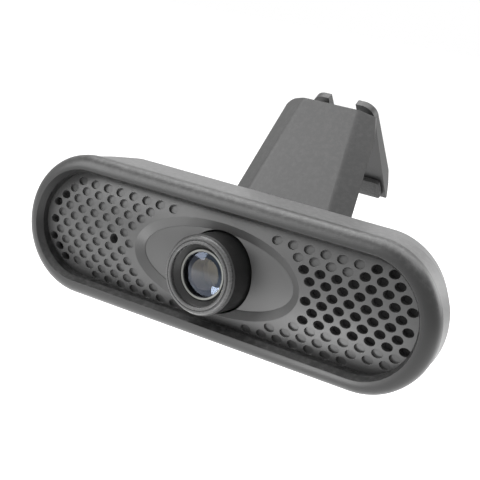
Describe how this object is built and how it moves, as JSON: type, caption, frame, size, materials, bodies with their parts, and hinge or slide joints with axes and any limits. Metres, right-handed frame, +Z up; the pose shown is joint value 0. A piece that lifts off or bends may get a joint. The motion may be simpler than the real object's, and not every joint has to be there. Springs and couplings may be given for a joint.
{
  "type": "clip-on monitor webcam",
  "caption": "Pill-shaped webcam with a perforated front, a focusing lens barrel and a folding two-part clip that hangs it on a monitor's edge.",
  "frame": {"origin": "middle of the grip face of the pad on the clip's front leg, where the webcam rests on the screen", "axes": "+Z up and the camera looks along -Y; +X runs along the body, to the right of someone facing the lens; the clip leg leans back from the body by its rest angle"},
  "size_m": [0.1048, 0.0702, 0.054],
  "materials": {
    "bezel_plastic": "dark grey moulded plastic, fine satin grain",
    "grille_plastic": "grey moulded plastic, fine grain",
    "shell_plastic": "dark grey moulded plastic, fine satin grain",
    "clip_plastic": "dark grey moulded plastic, satin",
    "black_felt": "black acoustic cloth",
    "soft_rubber": "black rubber",
    "barrel_plastic": "black satin plastic",
    "ring_plastic": "polished dark grey plastic",
    "cell_plastic": "blackened plastic",
    "lens_glass": "coated optical glass",
    "retainer_metal": "bright turned ring",
    "holder_plastic": "black glass-filled plastic",
    "board_laminate": "green solder mask",
    "chip_resin": "black moulding resin",
    "sensor_ceramic": "sensor package",
    "filter_glass": "infrared cut filter",
    "crystal_metal": "stamped can",
    "header_plastic": "natural nylon",
    "capsule_metal": "pressed can",
    "screw_steel": "zinc plated steel",
    "hinge_steel": "plated steel",
    "washer_nylon": "nylon"
  },
  "bodies": {
    "clip": {"clip_leg": "clip_plastic", "leg_pad": "soft_rubber", "tilt_washers": "washer_nylon", "jaw_pin": "hinge_steel"},
    "camera": {"front_bezel": "bezel_plastic", "grille_panel": "grille_plastic", "grille_felt_right": "black_felt", "grille_felt_left": "black_felt", "rear_shell": "shell_plastic", "cable_gland": "soft_rubber", "main_board": "board_laminate", "lens_holder": "holder_plastic", "image_sensor": "sensor_ceramic", "infrared_filter": "filter_glass", "video_chip": "chip_resin", "memory_chip": "chip_resin", "clock_crystal": "crystal_metal", "cable_header": "header_plastic", "mic_capsule": "capsule_metal", "mic_boot": "soft_rubber", "case_screws": "screw_steel", "board_screws": "screw_steel", "holder_screws": "screw_steel", "tilt_screw": "hinge_steel", "tilt_nut": "hinge_steel"},
    "lens": {"focus_barrel": "barrel_plastic", "front_ring": "ring_plastic", "lens_cell": "cell_plastic", "front_glass": "lens_glass", "glass_retainer": "retainer_metal", "lens_spacer": "cell_plastic", "rear_glass": "lens_glass"},
    "jaw": {"clip_jaw": "clip_plastic", "jaw_pad": "soft_rubber"}
  },
  "joints": [
    {"name": "camera_tilt", "type": "hinge", "parent": "clip", "child": "camera", "pos_m": [0, -0.00663, -0.01518], "axis": [1, 0, 0], "range_deg": [-25, 35]},
    {"name": "lens_focus", "type": "hinge", "parent": "camera", "child": "lens", "pos_m": [0, -0.02813, -0.00888], "axis": [0, -1, 0], "range_deg": [-180, 180]},
    {"name": "jaw_fold", "type": "hinge", "parent": "clip", "child": "jaw", "pos_m": [0, 0.01704, 0.02054], "axis": [1, 0, 0], "range_deg": [-80, 30]}
  ]
}
